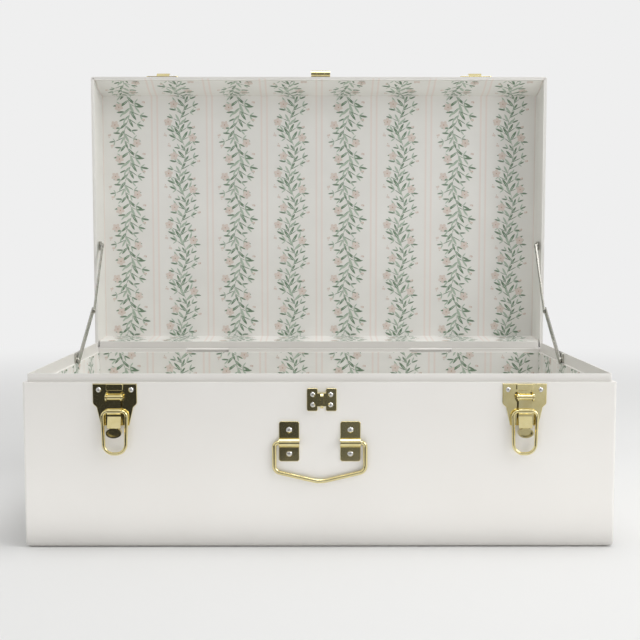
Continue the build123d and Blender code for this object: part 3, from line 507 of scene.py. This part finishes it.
def faceOf(board, axis, side):
    # Where a board's lower (0) or upper (1) face lies along an axis, in millimetres, to a hundredth
    return round(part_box(board)[side]["XYZ".index(axis)] / mm, 2)


sheets = {
    # Bare paper between a print's edges and the boards beside it
    "sideGapMm": 0.6,
    "endGapMm": 0.4,
    "topGapMm": 0.2,
    "lidSideGapMm": 0.2,
    "lidRearGapMm": 0.5,
    "lidRearEndGapMm": 3.6,
    "hingeGapMm": 1.1,
    "lipGapMm": 9.0,            # the lip stands inside the lid when that is closed
    # Where a column's repeat starts: up the body, up the open lid, and into the lid
    "bodyStartMm": 60,
    "lidStartMm": 345,
    "lidDepthStartMm": 205,
    "bowedBoardOffMm": 14.8,    # the sheets of these two boards start this far off them
    "leaningBoardOffMm": 8.6,
}
lift = garland["liftMm"]
cell = garlandCell()

floorTop, boardTop = faceOf("body_floor_lining", "Z", 1), faceOf("body_rear_lining", "Z", 1)
bodySide, bodyEnd = faceOf("body_right_lining", "X", 0), faceOf("body_rear_lining", "Y", 0)
acrossX = (sheets["sideGapMm"] - bodySide, bodySide - sheets["sideGapMm"])
acrossY = (sheets["endGapMm"] - bodyEnd, bodyEnd - sheets["endGapMm"])
upZ = (floorTop + sheets["endGapMm"], boardTop - sheets["topGapMm"])
start = sheets["bodyStartMm"]
lidTop, lidSide = faceOf("lid_top_lining", "Y", 0), faceOf("lid_right_lining", "X", 0)
lidFront, lidRear = faceOf("lid_front_lining", "Z", 0), faceOf("lid_rear_lining", "Z", 1)
lidX = lidSide - sheets["lidSideGapMm"]

printOn("lidTopGarlands", cell, "lid", facing((0, lidTop - lift, sheets["lidStartMm"]), (1, 0, 0), (0, 0, 1)),
        {0: (-lidX, lidX), 2: (lidRear + sheets["lidRearGapMm"], lidFront - sheets["endGapMm"])})
printOn("bodyRearGarlands", cell, "body", facing((0, bodyEnd - lift, start), (1, 0, 0), (0, 0, 1)),
        {0: acrossX, 2: upZ})
printOn("bodyFrontGarlands", cell, "body", facing((0, lift - bodyEnd, start), (-1, 0, 0), (0, 0, 1)),
        {0: acrossX, 2: upZ})
printOn("bodyLeftGarlands", cell, "body", facing((lift - bodySide, 0, start), (0, 1, 0), (0, 0, 1)),
        {1: acrossY, 2: upZ})
printOn("bodyRightGarlands", cell, "body", facing((bodySide - lift, 0, start), (0, -1, 0), (0, 0, 1)),
        {1: acrossY, 2: upZ})
printOn("bodyFloorGarlands", cell, "body", facing((0, 0, floorTop + lift), (1, 0, 0), (0, 1, 0)),
        {0: acrossX, 1: acrossY})

intoLid = lidTop - sheets["sideGapMm"]
lidFrontX, lidRearX = lidSide - sheets["sideGapMm"], lidSide - sheets["lidRearEndGapMm"]
origin = (0, sheets["lidDepthStartMm"], lidFront - sheets["bowedBoardOffMm"])
printOn("lidFrontGarlands", cell, "lid", facing(origin, (-1, 0, 0), (0, 1, 0)),
        {0: (-lidFrontX, lidFrontX), 1: (faceOf("lid_front_lining", "Y", 0) + sheets["lipGapMm"], intoLid)},
        "lid_front_lining", 1)
origin = (0, sheets["lidDepthStartMm"], lidRear + sheets["leaningBoardOffMm"])
printOn("lidRearGarlands", cell, "lid", facing(origin, (1, 0, 0), (0, 1, 0)),
        {0: (-lidRearX, lidRearX), 1: (faceOf("lid_rear_lining", "Y", 0) + sheets["hingeGapMm"], intoLid)},
        "lid_rear_lining", -1)
bpy.data.objects.remove(cell)

print("studio")
studio = {
    "backdrop": "#EFEFEF",
    "floor": "#E0E0DF",
    "floorSize": 16,
    "fadeMm": (700, 2200),          # the floor turns into the backdrop between these distances
    # Painted reflection: in front of the trunk, mirror rays alone see the floor swapped for a glow, nearly
    # black on the left and growing lighter to the right
    "paintedReflectionFromMm": (-420, -620),
    "paintedReflectionAcrossMm": (-150, 780),
    "paintedReflectionLevels": (0.04, 0.8),
    # Above it the sky is even, but for a dimmer wall ahead, where they mirror a dark part low down
    "sky": 0.8,
    "wall": 0.42,
    "wallAhead": (0.0, -0.6),
    "dark": 0.05,
    "darkAhead": (-0.86, -0.97),
    "darkBelow": (0.45, 0.12),
    "key": {"place": (1.9, -1.05, 1.35), "aim": (0.1, 0, 0.2), "size": (1.2, 1.2),
            "power": 18, "mirrored": True},
    "top": {"place": (0.25, -0.15, 2.0), "aim": (0.05, 0, 0), "size": (1.2, 0.8),
            "power": 14, "mirrored": True},
    # The card on the floor only fills: its own sharp image in the plating would give it away
    "bounce": {"place": (0.12, -0.345, 0.006), "aim": (0.12, -0.344, 1), "size": (1.45, 0.29),
               "power": 0.95, "mirrored": False},
}

bpy.ops.object.select_all(action="DESELECT")
bpy.ops.mesh.primitive_plane_add(size=studio["floorSize"])
floor = bpy.context.object
floor.name = "paleFloor"
material, tree = newMaterial("palePaintedFloor")
place = addNode(tree, "ShaderNodeTexCoord").outputs["Object"]
axes = addNode(tree, "ShaderNodeSeparateXYZ", links={"Vector": place})
distance = addNode(tree, "ShaderNodeVectorMath", {"operation": "LENGTH"}, links={0: place})
fade = softStep(tree, distance.outputs["Value"], *[edge * mm for edge in studio["fadeMm"]])
paint = addNode(tree, "ShaderNodeBsdfPrincipled", values={"Base Color": toLinear(studio["floor"]),
                                                          "Roughness": 0.85, "Specular IOR Level": 0.1})
glow = addNode(tree, "ShaderNodeEmission", values={"Color": toLinear(studio["backdrop"])})
floorShade = addNode(tree, "ShaderNodeMixShader", links={0: fade, 1: paint.outputs[0], 2: glow.outputs[0]})
# Painted reflection: where mirror rays meet the floor in front of the trunk, it glows instead, dim on the
# left and brighter to the right
rays = addNode(tree, "ShaderNodeLightPath")
front = softStep(tree, axes.outputs["Y"], *[edge * mm for edge in studio["paintedReflectionFromMm"]])
mirrored = addNode(tree, "ShaderNodeMath", {"operation": "MULTIPLY"},
                   links={0: rays.outputs["Is Glossy Ray"], 1: front})
shade = softStep(tree, axes.outputs["X"], *[edge * mm for edge in studio["paintedReflectionAcrossMm"]],
                 levels=studio["paintedReflectionLevels"])
paintedReflection = addNode(tree, "ShaderNodeEmission", links={"Strength": shade})
whole = addNode(tree, "ShaderNodeMixShader", links={0: mirrored.outputs[0], 1: floorShade.outputs[0],
                                                   2: paintedReflection.outputs[0]})
closeMaterial(tree, whole.outputs[0])
floor.data.materials.append(material)

world = bpy.data.worlds.new("studioAir")
bpy.context.scene.world = world
world.use_nodes = True
tree = world.node_tree
tree.nodes.clear()
way = addNode(tree, "ShaderNodeTexCoord").outputs["Generated"]
axes = addNode(tree, "ShaderNodeSeparateXYZ", links={"Vector": way})
ahead = softStep(tree, axes.outputs["Y"], *studio["darkAhead"])
below = softStep(tree, axes.outputs["Z"], *studio["darkBelow"])
darkPart = addNode(tree, "ShaderNodeMath", {"operation": "MULTIPLY"}, links={0: ahead, 1: below})
wall = softStep(tree, axes.outputs["Y"], *studio["wallAhead"], levels=(studio["sky"], studio["wall"]))
mirrorSky = addNode(tree, "ShaderNodeMapRange", values={"To Min": studio["sky"], "To Max": studio["dark"]},
                    links={"Value": darkPart.outputs[0]})
rays = addNode(tree, "ShaderNodeLightPath")
level = addNode(tree, "ShaderNodeMapRange", links={"Value": rays.outputs["Is Glossy Ray"], "To Min": wall,
                                                   "To Max": mirrorSky.outputs[0]})
room = addNode(tree, "ShaderNodeBackground", values={"Color": (1, 1, 1, 1)},
               links={"Strength": level.outputs[0]})
backdrop = addNode(tree, "ShaderNodeBackground", values={"Color": toLinear(studio["backdrop"])})
seen = addNode(tree, "ShaderNodeMixShader", links={0: rays.outputs["Is Camera Ray"], 1: room.outputs[0],
                                                  2: backdrop.outputs[0]})
addNode(tree, "ShaderNodeOutputWorld", links={"Surface": seen.outputs[0]})

for name in ("key", "top", "bounce"):
    lamp = studio[name]
    aim = Vector(lamp["aim"]) - Vector(lamp["place"])
    turn = aim.to_track_quat("-Z", "Y").to_euler()
    bpy.ops.object.light_add(type="AREA", location=lamp["place"], rotation=turn)
    light = bpy.context.object
    light.name = f"{name}Softbox"
    light.data.shape = "RECTANGLE"
    light.data.size, light.data.size_y = lamp["size"]
    light.data.energy = lamp["power"]
    light.visible_camera = False
    light.visible_glossy = lamp["mirrored"]

bpy.context.scene.view_settings.view_transform = "Standard"

print("finish")
